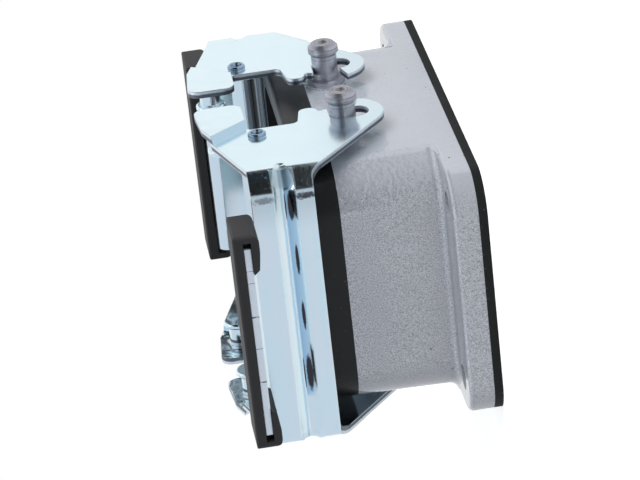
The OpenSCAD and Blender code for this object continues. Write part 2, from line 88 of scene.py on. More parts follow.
PIN_AXIS = Vector(entry(frame["joints"], "lever_right_hinge")["pos_m"])
PIN_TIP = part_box("pivot_pin_right_rear")[1].y
LEVER_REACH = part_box("locking_lever_right")[1]

# Dark marks on the edge of the grip flange: place along it and half width, in millimetres
EDGE_MARKS = ((17.0, 0.16), (4.7, 0.18), (-7.2, 0.14), (10.8, 0.06), (-1.1, 0.06), (13.0, 0.05))

# Painted dark reflections in long spots beside the bead: place along the crossbar, half length, height above
# the bead's middle line and half width, in millimetres
PAINTED_REFLECTION_SPOTS = (
    (19.1, 3.0, -0.85, 0.56),
    (19.1, 2.7, 0.02, 0.13),
    (9.4, 3.1, -0.95, 0.32),
    (-0.9, 2.9, -0.93, 0.32),
    (-11.6, 3.8, -0.85, 0.60),
    (-11.6, 3.4, 0.02, 0.13),
)

# Painted dark reflections in patches across the line near the upper bend: height above the bead's
# middle line and half of their own height, in millimetres, and how dark they are
PAINTED_REFLECTION_PATCHES = ((3.4, 1.9, 0.60), (-3.5, 2.1, 0.94))


def length(name, description, default):
    """A size in metres that a user may change."""
    return FloatProperty(
        name=name, description=description, default=default, min=0.0, max=1.0,
        precision=6, unit="LENGTH", subtype="DISTANCE",
    )


def share(name, description, default):
    """A plain number from nothing to one."""
    return FloatProperty(
        name=name, description=description, default=default, min=0.0, max=1.0, subtype="FACTOR",
    )


def tint(name, description, default):
    """A linear colour."""
    return FloatVectorProperty(
        name=name, description=description, default=default, size=3, min=0.0, max=1.0, subtype="COLOR",
    )


def angle(name, description, degrees):
    """An angle, given in degrees and kept in radians."""
    return FloatProperty(
        name=name, description=description, default=math.radians(degrees), min=-math.pi, max=math.pi,
        subtype="ANGLE",
    )


def place(name, description, default):
    """A point in metres."""
    return FloatVectorProperty(
        name=name, description=description, default=default, size=3, precision=6, unit="LENGTH",
        subtype="TRANSLATION",
    )


def power(name, description, default):
    """A lamp's power in watts."""
    return FloatProperty(name=name, description=description, default=default, min=0.0, unit="POWER")


class CastingSettings(bpy.types.PropertyGroup):
    """Powder coat on the cast body."""

    coat: tint("Coat", "Colour of the coat between its grains", (0.485, 0.515, 0.58))
    dark_grain: tint("Dark grain", "Colour of the dark grains on the end faces", (0.24, 0.26, 0.30))
    pale_grain: tint("Pale grain", "Colour of the pale grains on the end faces", (0.72, 0.74, 0.79))
    speck: tint("Speck", "Colour of the stray dark specks", (0.05, 0.05, 0.055))
    roughness: share("Roughness", "Roughness of the coat", 0.4)
    gloss: share("Gloss", "Roughness of the glossy film on the coat", 0.05)
    grain: length("Grain", "Size of one grain", 0.22 * MM)
    grain_height: length("Grain height", "Height of the grains", 0.05 * MM)
    peel: length("Peel", "Width of the ripples in the coat", 0.9 * MM)
    peel_height: length("Peel height", "Height of the ripples in the coat", 0.05 * MM)
    gloss_height: length("Gloss height", "Height of the ripples in the glossy film", 0.09 * MM)
    cloud: length("Cloud", "Size of the faint clouds in the coat", 14 * MM)
    speck_size: length("Speck size", "Size of the noise that scatters the specks", 0.9 * MM)
    ledge: length("Ledge", "Height of the flange's upper face", 5.75 * MM)
    # Within this distance of the ledge the coat gets a painted highlight on the fillets and painted shade on the
    # ledge.
    foot: length("Foot", "Distance from the ledge within which the coat is rubbed", 1.6 * MM)
    foot_fade: length("Foot fade", "Distance over which the rubbed zone ends", 0.3 * MM)
    # Strength of the painted highlight on the fillets at the foot of the walls.
    painted_fillet_highlight: share("Foot gain", "Gain of paleness on the fillets at the foot of the walls", 0.17)
    ledge_shade: share("Ledge shade", "Loss of paleness on the flat ledge", 0.27)
    side_shade: share("Side shade", "Loss of paleness on the smooth long sides", 0.07)
    turn_shade: share("Corner shade", "Loss of paleness where a long side turns into an end", 0.15)


class RubberSettings(bpy.types.PropertyGroup):
    """Rim seal and flange gasket."""

    seal: tint("Seal", "Colour of the rim seal", (0.008, 0.0085, 0.010))
    seal_roughness: share("Seal roughness", "Roughness of the rim seal", 0.36)
    seal_skin: length("Seal skin", "Size of the unevenness in the seal's skin", 0.5 * MM)
    seal_dust: share("Seal dust", "Amount of dust on the rim seal", 0.5)
    gasket: tint("Gasket", "Colour of the flange gasket", (0.012, 0.013, 0.013))
    gasket_roughness: share("Gasket roughness", "Roughness of the flange gasket", 0.7)
    gasket_skin: length("Gasket skin", "Size of the unevenness in the gasket's skin", 0.25 * MM)
    gasket_dust: share("Gasket dust", "Amount of dust on the flange gasket", 1.0)
    dust: tint("Dust", "Colour of the dust on the rubber", (0.09, 0.09, 0.10))
    skin_height: length("Skin height", "Height of the unevenness in both skins", 0.03 * MM)
    cloud: length("Cloud", "Size of the clouds in the rubber", 6 * MM)
    speck_size: length("Speck size", "Size of the noise that scatters the dust", 0.5 * MM)


class PinSettings(bpy.types.PropertyGroup):
    """Turned pivot pins."""

    steel: tint("Steel", "Colour of the turned steel", (0.56, 0.565, 0.63))
    stain: tint("Stain", "Colour of the darker patches", (0.30, 0.295, 0.33))
    line: tint("Line", "Colour of the turning marks", (0.12, 0.115, 0.13))
    hollow: tint("Hollow", "Colour of the centre hole", (0.37, 0.345, 0.335))
    groove: length("Groove", "Distance between the turning marks", 0.62 * MM)
    groove_depth: length("Groove depth", "Depth of the turning marks", 0.02 * MM)
    wander: length("Wander", "Distance by which the turning marks wander", 0.12 * MM)
    wander_size: length("Wander size", "Size of the noise that bends the turning marks", 2.5 * MM)
    stain_size: length("Stain size", "Size of the darker patches", 2.2 * MM)
    head: length("Head", "Distance from the pin's tip within which the turning marks are strong", 2.7 * MM)
    head_fade: length("Head fade", "Distance over which they grow weak", 0.3 * MM)
    rim: length("Rim", "Radius of the turned ring on the head", 2.1 * MM)
    rim_half: length("Rim half", "Half of the width of that ring", 0.16 * MM)
    rim_core: length("Rim core", "Half of the width of its dark core", 0.05 * MM)
    hole: length("Hole", "Radius of the centre hole", 0.98 * MM)
    hole_core: length("Hole core", "Radius within which the centre hole has its full colour", 0.82 * MM)
    edge: length("Edge", "Rounding along the sharp edges", 0.08 * MM)


class LeverSettings(bpy.types.PropertyGroup):
    """Plated sheet of the levers."""

    plate: tint("Plate", "Colour of the bright plating", (0.765, 0.925, 0.985))
    haze: tint("Haze", "Colour of the thin film on the plating", (0.80, 0.915, 0.975))
    streak: tint("Streak", "Colour of the faint streaks along the sheet", (0.85, 0.90, 0.94))
    cut: tint("Cut", "Colour of the sheared edges", (0.76, 0.82, 0.88))
    # The torn inner band is partly real fracture and partly painted shade that makes the edge look thinner.
    torn: tint("Torn", "Colour of the torn inner part of the sheared edges", (0.15, 0.17, 0.20))
    # Also the colour of the painted dark reflections on the crossbar and upper bend, and of the painted shade
    # below that bend.
    mark: tint("Mark", "Colour of the dark marks that the press leaves", (0.05, 0.05, 0.06))
    shade: tint("Shade", "Colour of the blue shade along the bead and on the tabs", (0.36, 0.60, 0.80))
    rivet: tint("Rivet", "Colour of the rivet heads", (0.34, 0.46, 0.60))

    roughness: share("Roughness", "Roughness of the plating", 0.13)
    arm_haze: share("Arm haze", "Roughness added on the arms", 0.04)
    cut_haze: share("Cut haze", "Roughness added on the sheared edges", 0.26)
    rub_haze: share("Rub haze", "Roughness added on the bead where it runs round a bend", 0.38)
    # Darkness on the upper bend: mostly painted dark reflection, a little the crazed plating's own dullness.
    craze_and_reflection: share("Craze", "Darkness of the crazed plating on the upper bend", 0.40)
    # Painted shade on the crossbar just below the upper bend.
    bar_shade: share("Bar shade", "Darkness of the crossbar just below the upper bend", 0.22)
    fold_shade: share("Fold shade", "Strength of the blue shade on the steps of the tabs", 0.55)

    sheet: length("Sheet", "Thickness of the sheet", 1.2 * MM)
    crossbar: length("Crossbar", "Distance of the crossbar's outer face from the middle", 34.0 * MM)
    bar_depth: length("Bar depth", "Depth behind that face that counts as crossbar", 3.0 * MM)
    bar_foot: length("Bar foot", "Height above the pins that the bar's lower edge stays under", 8.95 * MM)
    bend: length("Bend", "Outer radius of the bends", 3.5 * MM)
    joggle: length("Joggle", "Step of the tabs outward from the arms", 1.3 * MM)
    joggle_height: length("Joggle height", "Height above the pins where the shade on it begins", 13.95 * MM)
    tab_height: length("Tab height", "Height above the pins where the dents in the tabs begin", 14.95 * MM)
    tab_out: length("Tab distance", "Distance from the middle where the dents begin to fade", 13.0 * MM)
    tab_fade: length("Tab fade", "Distance over which the dents fade", 3.0 * MM)

    shear: length("Shear", "Width of the bright outer part of the sheared edges", 0.5 * MM)
    tear: length("Tear", "Size of the tears in the sheared edges", 0.25 * MM)
    film: length("Film", "Size of the patches of thin film", 16 * MM)
    streak_width: length("Streak width", "Width of the faint streaks", 0.9 * MM)
    spread: length("Spread", "Size of the patches of more and less roughness", 5 * MM)
    ripple: length("Ripple", "Width of the faint waves in the sheet", 9 * MM)
    ripple_height: length("Ripple height", "Height of the faint waves", 0.12 * MM)
    skin: length("Skin", "Size of the fine unevenness in the plating", 0.6 * MM)
    skin_height: length("Skin height", "Height of the fine unevenness", 0.003 * MM)
    pit: length("Pit", "Size of the noise that scatters pits on the upper bend", 0.4 * MM)
    pit_depth: length("Pit depth", "Depth of the pits", 0.06 * MM)
    dent_size: length("Dent size", "Size of the dents in the inner faces of the tabs", 5 * MM)
    dent: length("Dent", "Depth of those dents", 0.5 * MM)

    rivet_out: length("Rivet distance", "Distance of the rivets outward from the pins", 4.5 * MM)
    rivet_up: length("Rivet height", "Height of the rivets above the pins", 15.2 * MM)
    rivet_radius: length("Rivet radius", "Radius of the rivet heads", 1.6 * MM)
    bead_height: length("Bead height", "Height of the bead's middle line above the pins", 13.1 * MM)
    bead_half: length("Bead half", "Half of the bead's width", 1.8 * MM)
    bead_edge: length("Bead edge", "Rounding along the sides of the bead", 0.35 * MM)
    bead_soft: length("Bead softness", "Height that the shading takes off the bead's depth", 0.42 * MM)
    # Place and half width of the patches of painted dark reflection near the upper bend, and the grit that makes
    # the edges of all painted dark reflections ragged.
    reflection_line: length("Press line", "Distance of the smeared patches from the bar's middle", 20.95 * MM)
    reflection_half: length("Press half", "Half of the width of the smeared patches", 0.66 * MM)
    reflection_grit: length("Press grit", "Size of the ragged detail in the press marks", 0.5 * MM)
    edge: length("Edge", "Rounding along the sharp edges", 0.2 * MM)


class GripSettings(bpy.types.PropertyGroup):
    """Moulded grips on the levers."""

    plastic: tint("Plastic", "Colour of the moulded plastic", (0.028, 0.028, 0.030))
    worn: tint("Worn", "Colour of the scuffed places", (0.055, 0.054, 0.057))
    # Share of the worn colour on the faces that turn towards +Y, which makes the upper ends paler.
    pale_share: share("Dusty", "Share of the worn colour on the upper ends", 0.55)
    grain: length("Grain", "Size of the mould's texture", 0.28 * MM)
    grain_height: length("Grain height", "Height of the mould's texture", 0.03 * MM)
    cloud: length("Cloud", "Size of the scuffed places", 7 * MM)
    edge: length("Edge", "Rounding along the sharp edges", 0.2 * MM)


class ThreadSettings(bpy.types.PropertyGroup):
    """Threads in the insert bosses."""

    metal: tint("Metal", "Colour of the bare cut metal", (0.62, 0.62, 0.63))
    streak: length("Streak", "Size of the tool's streaks", 0.4 * MM)
    streak_depth: length("Streak depth", "Depth of the tool's streaks", 0.01 * MM)
    pitch: length("Pitch", "Distance between two turns", 0.7 * MM)
    depth: length("Depth", "Height of the thread's ridge", 0.22 * MM)
    sink: length("Sink", "Depth of the ridge's root in the wall of the hole", 0.02 * MM)
    reach: length("Reach", "Length of the thread down the hole", 7.4 * MM)
    steps: IntProperty(name="Steps", description="Points in one turn", default=40, min=12, max=96)


class StageSettings(bpy.types.PropertyGroup):
    """Floor, light and camera."""

    floor: tint("Floor", "Colour of the floor", (0.86, 0.87, 0.88))
    floor_light: tint("Floor light", "Colour of the floor's own light", (0.94, 0.97, 1.0))
    floor_radius: length("Floor radius", "Radius of the round floor", 260 * MM)
    floor_drop: length("Floor drop", "Distance of the floor below the housing", 0.02 * MM)
    floor_cloud: length("Floor cloud", "Size of the faint clouds in the floor", 40 * MM)
    floor_glow: share("Floor glow", "Strength of the floor's own light", 0.62)
    floor_mirror: share("Floor in reflections", "Share of that light that reflections show", 0.35)

    ambient: share("Ambient", "Level of the light from all sides", 0.48)
    room: tint("Room", "Colour of the room, in reflections", (0.99, 0.995, 1.0))
    dark_side: share("Dark side", "Paleness of the room's dark side, in reflections", 0.02)
    dark_way: angle("Dark way", "Azimuth of the room's dark side", 70.0)
    table: tint("Table", "Colour of the room in front of the housing, in reflections", (0.66, 0.70, 0.77))
    table_way: angle("Table way", "Azimuth of that side of the room", -24.0)

    key_power: power("Key power", "Power of the large lamp beside the housing", 4.7)
    key_size: length("Key size", "Width of the large lamp", 600 * MM)
    key_place: place("Key place", "Place of the large lamp", (0.16, 0.76, 0.32))
    strip_power: power("Strip power", "Power of the narrow lamp above the housing", 0.3)
    strip_length: length("Strip length", "Length of the narrow lamp", 420 * MM)
    strip_width: length("Strip width", "Width of the narrow lamp", 60 * MM)
    strip_place: place("Strip place", "Place of the narrow lamp", (0.14, -0.06, 0.62))
    lamp_aim: place("Lamp aim", "Point that both lamps face", (0.0, 0.0, 20 * MM))

    azimuth: angle("Azimuth", "Direction from the housing to the camera, round the upright axis", 24.4748)
    elevation: angle("Elevation", "Height of the camera above the level, as an angle", 4.4440)
    roll: angle("Roll", "Turn of the camera round its own line of sight", -98.4754)
    distance: length("Distance", "Distance of the camera from the point that it faces", 599.5 * MM)
    aim: place("Aim", "Point that the camera faces", (0.0, -2.886 * MM, 24.301 * MM))
    lens: FloatProperty(
        name="Lens", description="Focal length of the camera", default=191.65, min=20.0, max=500.0,
        unit="CAMERA",
    )


class Nodes:
    """A node tree that is built up from nothing, with a short call for each step."""

    def __init__(self, tree):
        self.tree = tree
        tree.nodes.clear()
        self.coordinates = self.add("ShaderNodeTexCoord").outputs
        self.where = self.coordinates["Object"]

    def add(self, kind, options=None, **inputs):
        """Adds a node and fills its inputs. A name such as in_0 stands for an input's place."""
        node = self.tree.nodes.new(kind)
        for key, value in (options or {}).items():
            setattr(node, key, value)
        for key, value in inputs.items():
            which = int(key[3:]) if key.startswith("in_") else key.replace("_", " ")
            self.fill(node.inputs[which], value)
        return node

    def fill(self, socket, value):
        """Links an output to a socket, or sets the socket to a number, a vector or a colour."""
        if isinstance(value, bpy.types.NodeSocket):
            self.tree.links.new(value, socket)
        elif isinstance(value, (int, float)):
            socket.default_value = value
        elif len(socket.default_value) == 4:
            socket.default_value = (*value, 1.0)
        else:
            socket.default_value = tuple(value)

    def math(self, operation, first, second=0.0, third=0.0, clamp=False):
        """One step of arithmetic."""
        options = {"operation": operation, "use_clamp": clamp}
        return self.add("ShaderNodeMath", options, in_0=first, in_1=second, in_2=third).outputs[0]

    def plus(self, first, second):
        """The sum."""
        return self.math("ADD", first, second)

    def minus(self, first, second):
        """The difference."""
        return self.math("SUBTRACT", first, second)

    def times(self, first, second):
        """The product."""
        return self.math("MULTIPLY", first, second)

    def slope(self, value, rise, start):
        """Start, plus the rise for each unit of the value."""
        return self.math("MULTIPLY_ADD", value, rise, start)

    def squares(self, first, second):
        """The sum of two squares."""
        return self.plus(self.times(first, first), self.times(second, second))

    def absolute(self, value):
        """The value without its sign."""
        return self.math("ABSOLUTE", value)

    def larger(self, first, second):
        """The larger of two values."""
        return self.math("MAXIMUM", first, second)

    def above(self, value, limit):
        """One above the limit and nothing below it."""
        return self.math("GREATER_THAN", value, limit)

    def below(self, value, limit):
        """One below the limit and nothing above it."""
        return self.math("LESS_THAN", value, limit)

    def between(self, value, low, high):
        """Rises smoothly from nothing at low to one at high, or falls where low is the larger."""
        options = {"interpolation_type": "SMOOTHSTEP"}
        node = self.add("ShaderNodeMapRange", options, Value=value, From_Min=low, From_Max=high)
        return node.outputs["Result"]

    def vector(self, operation, first, output="Vector", **inputs):
        """One step of arithmetic on a vector or a colour."""
        node = self.add("ShaderNodeVectorMath", {"operation": operation}, in_0=first, **inputs)
        return node.outputs[output]

    def scaled(self, colour, factor):
        """A colour made paler or darker."""
        return self.vector("SCALE", colour, Scale=factor)

    def blend(self, amount, first, second):
        """Mixes the given amount of the second colour into the first."""
        node = self.add("ShaderNodeMix", {"data_type": "RGBA"}, in_0=amount, in_6=first, in_7=second)
        return node.outputs[2]

    def noise(self, size, detail=2.0, roughness=0.5, distortion=0.0, where=None):
        """A cloud of spots of about the given size in metres."""
        node = self.add("ShaderNodeTexNoise", Vector=where or self.where, Scale=1.0 / size, Detail=detail,
                        Roughness=roughness, Distortion=distortion)
        return node.outputs["Fac"]

    def bump(self, height, distance, strength=1.0, under=None):
        """Turns a height into a bent normal, on top of another normal where one is given."""
        node = self.add("ShaderNodeBump", Height=height, Distance=distance, Strength=strength)
        if under is not None:
            self.fill(node.inputs["Normal"], under)
        return node.outputs["Normal"]

    def rounded(self, radius):
        """A normal that turns softly round the sharp edges."""
        return self.add("ShaderNodeBevel", {"samples": 6}, Radius=radius).outputs["Normal"]


class Finish(Nodes):
    """A new material with its shader, and the surface's own place and direction."""

    def __init__(self, name):
        self.material = bpy.data.materials.new(name)
        self.material.use_nodes = True
        super().__init__(self.material.node_tree)
        self.shader = self.add("ShaderNodeBsdfPrincipled")
        self.add("ShaderNodeOutputMaterial", Surface=self.shader.outputs[0])
        self.x, self.y, self.z = self.add("ShaderNodeSeparateXYZ", in_0=self.where).outputs
        normal = self.coordinates["Normal"]
        self.nx, self.ny, self.nz = self.add("ShaderNodeSeparateXYZ", in_0=normal).outputs
        self.facing_side = self.absolute(self.ny)

    def outward(self, way, side):
        """A part of the normal, counted as positive where it points away from the middle."""
        return self.times(way, self.math("SIGN", side))

    def set(self, **inputs):
        """Sets or links the shader's inputs."""
        for key, value in inputs.items():
            self.fill(self.shader.inputs[key.replace("_", " ")], value)


class SheetFinish(Finish):
    """The levers' material, with the regions of the folded sheet that its marks need.

    Its out and aside are distances from the two upright middle planes, and its off is the height above the
    bead's middle line.
    """

    def __init__(self, name, look):
        super().__init__(name)
        self.look = look
        self.out = self.absolute(self.x)
        self.aside = self.absolute(self.y)
        self.off = self.minus(self.z, PIN_AXIS.z + look.bead_height)
        self.from_bead = self.absolute(self.off)
        self.torn = self.noise(look.tear)
        margin = 0.1 * MM
        self.on_arm = self.above(self.aside, LEVER_REACH.y - look.joggle - look.sheet + margin)
        self.bar_start = look.crossbar - look.bar_depth
        facing_out = self.above(self.outward(self.nx, self.x), 0.3)
        self.bar_face = self.times(facing_out, self.above(self.out, self.bar_start))
        self.find_bends(look)
        self.find_edges(look)

    def find_bends(self, look):
        """The bends, the sheet beside the bead, and the upper bend apart from the bead."""
        turning = self.between(self.absolute(self.times(self.nx, self.ny)), 0.10, 0.30)
        self.on_bend = self.times(turning, self.above(self.out, self.bar_start - look.bar_depth))
        self.beside_bead = self.between(self.from_bead, look.bead_half - 0.1 * MM, look.bead_half + 0.4 * MM)
        upper_half = self.above(self.y, 0.0)
        self.crazed = self.times(self.times(self.on_bend, self.beside_bead), upper_half)

    def find_edges(self, look):
        """The sheared edges of the arms and the crossbar, the grip flange's edge, and all of them."""
        arm_edge = self.times(self.on_arm, self.between(self.facing_side, 0.45, 0.3))
        arm_edge = self.times(arm_edge, self.below(self.out, self.bar_start))
        low_edge = self.above(self.out, look.crossbar - look.bend)
        low_edge = self.times(low_edge, self.between(self.nz, -0.6, -0.8))
        low_edge = self.times(low_edge, self.below(self.z, PIN_AXIS.z + look.bar_foot))
        self.sheared = self.larger(arm_edge, low_edge)
        skin = 0.15 * MM
        self.flange_edge = self.above(self.out, LEVER_REACH.x - skin)
        self.cut = self.larger(self.sheared, self.flange_edge)


def wear(names, finish):
    """Gives a finish to the named solids."""
    for name in names:
        data = NODES[name].data
        data.materials.clear()
        data.materials.append(finish.material)


def painted_foot_light(f, look):
    """Painted highlight on the fillets at the foot of the walls, and painted shade on the flat ledge."""
    height = f.absolute(f.minus(f.z, look.ledge))
    at_foot = f.between(height, look.foot, look.foot - look.foot_fade)
    fillet = f.times(f.between(f.nz, 0.35, 0.55), f.between(f.nz, 0.92, 0.75))
    flat = f.between(f.nz, 0.9, 0.97)
    change = f.minus(f.times(fillet, look.painted_fillet_highlight), f.times(flat, look.ledge_shade))
    return f.slope(change, at_foot, 1.0)


def casting_finish(look):
    """Grained powder coat: grainy on the end faces, smoother and rippled on the long sides."""
    f = Finish("coated_casting")
    side = f.between(f.facing_side, 0.12, 0.88)
    turned = f.times(f.between(f.facing_side, 0.985, 0.95), f.between(f.facing_side, 0.05, 0.45))
    grains = f.noise(look.grain, roughness=0.65)
    fine_grains = f.noise(0.45 * look.grain, detail=1.0)
    graininess = f.slope(side, -0.78, 0.95)

    dark = f.times(f.between(grains, 0.52, 0.36), graininess)
    pale = f.times(f.between(grains, 0.54, 0.72), graininess)
    colour = f.blend(dark, look.coat, look.dark_grain)
    colour = f.blend(pale, colour, look.pale_grain)
    shade = f.slope(f.noise(look.cloud, detail=3.0), 0.16, 0.92)
    shade = f.times(shade, f.slope(turned, -look.turn_shade, 1.0))
    shade = f.times(shade, f.slope(side, -look.side_shade, 1.0))
    # The last factor adds the painted highlight on the fillets and the painted shade on the ledge.
    colour = f.scaled(colour, f.times(shade, painted_foot_light(f, look)))
    specks = f.between(f.noise(look.speck_size, detail=0.0), 0.86, 0.89)
    colour = f.blend(specks, colour, look.speck)

    ripples = f.noise(look.peel, detail=1.0)
    relief = f.times(f.slope(fine_grains, 0.5, grains), graininess)
    normal = f.bump(ripples, look.peel_height, strength=0.5)
    normal = f.bump(relief, look.grain_height, strength=0.45, under=normal)
    gloss = f.bump(f.times(ripples, f.slope(side, 0.75, 0.25)), look.gloss_height)
    rough = f.slope(grains, 0.16, look.roughness - 0.08)
    f.set(Base_Color=colour, Roughness=rough, Normal=normal, IOR=1.5, Coat_Weight=1.0, Coat_IOR=1.8,
          Coat_Roughness=look.gloss, Coat_Normal=gloss)
    return f


def rubber_finish(name, look, colour, roughness, skin, pale_share):
    """Black rubber with a faint skin and specks of dust."""
    f = Finish(name)
    cloud = f.noise(look.cloud, detail=4.0, roughness=0.6)
    specks = f.between(f.noise(look.speck_size, detail=0.0), 0.78, 0.84)
    base = f.scaled(colour, f.slope(cloud, 0.5, 0.75))
    base = f.blend(f.times(specks, pale_share), base, look.dust)
    rough = f.slope(cloud, 0.2, roughness - 0.1)
    normal = f.bump(f.noise(skin), look.skin_height, strength=0.35)
    f.set(Base_Color=base, Roughness=rough, Normal=normal, Specular_IOR_Level=0.3)
    return f


def pin_finish(look):
    """Turned steel: rings round the axis on the sides, circles on the ends, darker stains."""
    f = Finish("turned_pin_steel")
    across = f.minus(f.absolute(f.x), PIN_AXIS.x)
    up = f.minus(f.z, PIN_AXIS.z)
    radius = f.math("SQRT", f.squares(across, up))
    on_head = f.between(f.absolute(f.y), PIN_TIP - look.head - look.head_fade, PIN_TIP - look.head)
    on_end = f.between(f.facing_side, 0.6, 0.9)

    along = f.add("ShaderNodeMix", in_0=on_end, in_2=f.y, in_3=radius).outputs[0]
    along = f.plus(along, f.times(f.noise(look.wander_size), look.wander))
    rings = f.math("SINE", f.times(along, 2 * math.pi / look.groove))
    rings = f.slope(rings, 0.5, 0.5)
    lines = f.times(f.math("POWER", rings, 4.0), f.slope(on_head, 0.33, 0.09))
    rim = f.absolute(f.minus(radius, look.rim))
    rim = f.times(f.between(rim, look.rim_half, look.rim_core), on_end)
    hollow = f.times(f.between(radius, look.hole, look.hole_core), on_head)

    stain = f.between(f.noise(look.stain_size, detail=3.0, roughness=0.55), 0.42, 0.70)
    colour = f.blend(f.times(stain, 0.45), look.steel, look.stain)
    colour = f.blend(lines, colour, look.line)
    colour = f.blend(f.times(rim, 0.6), colour, look.line)
    colour = f.blend(hollow, colour, look.hollow)
    rough = f.slope(stain, 0.10, 0.40)
    relief = f.times(rings, f.slope(on_head, 0.7, 0.3))
    normal = f.bump(relief, look.groove_depth, strength=0.5, under=f.rounded(look.edge))
    f.set(Base_Color=colour, Metallic=1.0, Roughness=rough, Normal=normal)
    return f


def spot_reach(f, along, half_length, across, half_width):
    """Distance from the middle of a long spot, as a share of its size and squared."""
    return f.squares(f.math("DIVIDE", along, half_length), f.math("DIVIDE", across, half_width))


def sheet_depth(f):
    """Depth of a point below the sheet's outer face, on the arms, the bends, the crossbar and the tabs."""
    look = f.look
    past_x = f.minus(f.out, look.crossbar - look.bend)
    past_y = f.minus(f.aside, LEVER_REACH.y - look.joggle - look.bend)
    reach = f.math("SQRT", f.squares(f.larger(past_x, 0.0), f.larger(past_y, 0.0)))
    inner = f.math("MINIMUM", f.larger(past_x, past_y), 0.0)
    depth = f.minus(look.bend, f.plus(reach, inner))
    margin = 0.05 * MM
    on_tab = f.below(depth, -margin)
    return f.slope(on_tab, look.joggle, depth)


def plate_colour(f):
    """Bright plating under patches of thin film, with faint streaks along the sheet."""
    look = f.look
    film = f.between(f.noise(look.film, detail=3.0, roughness=0.6, distortion=0.4), 0.42, 0.72)
    colour = f.blend(film, look.plate, look.haze)
    stretch = (1.0, 0.04, 1.0)
    drawn_out = f.vector("MULTIPLY", f.where, in_1=stretch)
    streaks = f.between(f.noise(look.streak_width, where=drawn_out), 0.44, 0.68)
    streaks = f.times(streaks, f.slope(f.facing_side, -0.5, 0.6))
    return f.blend(streaks, colour, look.streak)


def add_cut_edges(f, colour):
    """Sheared edges: bright outer part, torn inner part with painted shade, dark marks on the grip flange."""
    look = f.look
    bare = f.blend(f.between(f.torn, 0.5, 0.75), look.cut, look.haze)
    colour = f.blend(f.cut, colour, bare)
    tear_height = 0.3 * MM
    ragged = f.slope(f.torn, tear_height, sheet_depth(f))
    inner_start = look.shear + 0.1 * MM
    inner = f.between(ragged, inner_start, inner_start + 0.15 * MM)
    # Torn fracture and painted shade on the inner part of the sheared edges.
    colour = f.blend(f.times(inner, f.sheared), colour, look.torn)

    marks = 0.0
    for middle, half_width in EDGE_MARKS:
        offset = f.absolute(f.minus(f.y, middle * MM))
        marks = f.larger(marks, f.between(offset, half_width * MM, 0.5 * half_width * MM))
    marks = f.times(f.times(marks, f.flange_edge), f.between(f.torn, 0.3, 0.5))
    return f.blend(marks, colour, look.mark)


def painted_bead_shade(f):
    """How strong the painted blue shade along the bead is: a thin line and a band beside it."""
    line_height = 0.5 * MM
    line_half = 0.32 * MM
    line_core = 0.06 * MM
    band_top = 0.16 * MM
    band_foot = -1.8 * MM
    band_end = -16.2 * MM
    wander_size = 3 * MM
    wander_width = 0.2 * MM
    wander = f.slope(f.noise(wander_size, detail=1.0), wander_width, -wander_width / 2)

    line = f.absolute(f.plus(f.minus(f.off, line_height), wander))
    line = f.times(f.between(line, line_half, line_core), 0.75)
    band = f.between(f.off, band_top, band_top - 0.28 * MM)
    band = f.times(band, f.between(f.off, band_foot, band_foot + 0.5 * MM))
    ragged = f.slope(wander, 9.0, f.y)
    band = f.times(band, f.between(ragged, band_end, band_end + 1.6 * MM))
    band = f.times(band, f.slope(f.off, 0.32 / MM, 1.05))
    return f.times(f.math("MAXIMUM", line, band, clamp=True), f.bar_face)


def painted_bar_reflections(f):
    """Painted dark reflections on the crossbar: along the bead and below the upper bend."""
    look = f.look
    # These marks are painted dark reflections.
    marks = 0.0
    ragged = f.slope(f.noise(look.reflection_grit), 0.8, 0.6)
    for middle, half_length, height, half_width in PAINTED_REFLECTION_SPOTS:
        along = f.minus(f.y, middle * MM)
        across = f.minus(f.off, height * MM)
        reach = f.times(spot_reach(f, along, half_length * MM, across, half_width * MM), ragged)
        marks = f.larger(marks, f.between(reach, 1.05, 0.45))

    # Ragged edges for the patches of painted dark reflection.
    smeared = f.slope(f.noise(look.reflection_grit, detail=3.0, roughness=0.7), 3.6, -1.8)
    for height, half_height, strength in PAINTED_REFLECTION_PATCHES:
        along = f.minus(f.y, look.reflection_line)
        across = f.minus(f.off, height * MM)
        reach = f.plus(spot_reach(f, along, look.reflection_half, across, half_height * MM), smeared)
        marks = f.larger(marks, f.times(f.between(reach, 1.5, 0.1), strength))
    return f.times(marks, f.bar_face)


def on_rivet(f):
    """One on the heads of the rivets that stand on the arms, and nothing elsewhere."""
    look = f.look
    across = f.minus(f.out, PIN_AXIS.x + look.rivet_out)
    up = f.minus(f.z, PIN_AXIS.z + look.rivet_up)
    near = f.below(f.squares(across, up), look.rivet_radius ** 2)
    above_arm = 0.05 * MM
    return f.times(near, f.above(f.aside, LEVER_REACH.y - look.joggle + above_arm))


def add_bend_shades(f, colour):
    """Dark upper bend (crazing, painted reflection), painted shade below it, painted blue shade on tab steps."""
    look = f.look
    # Painted dark reflection on the upper bend beside the bead, with a little of the crazing's own dullness.
    colour = f.blend(f.times(f.crazed, look.craze_and_reflection), colour, look.mark)
    # Painted shade on the crossbar just below the upper bend.
    shade_start = 14.0 * MM
    shade_full = 21.5 * MM
    under_bend = f.times(f.between(f.y, shade_start, shade_full), f.bar_face)
    colour = f.blend(f.times(under_bend, look.bar_shade), colour, look.mark)
    # Painted blue shade on the steps of the tabs, found by the turn of the normal.
    step = f.times(f.between(f.facing_side, 0.985, 0.95), f.between(f.facing_side, 0.3, 0.5))
    step = f.times(step, f.on_arm)
    step_start = PIN_AXIS.z + look.joggle_height
    high = f.between(f.z, step_start, step_start + 1.0 * MM)
    return f.blend(f.times(step, f.times(high, look.fold_shade)), colour, look.shade)


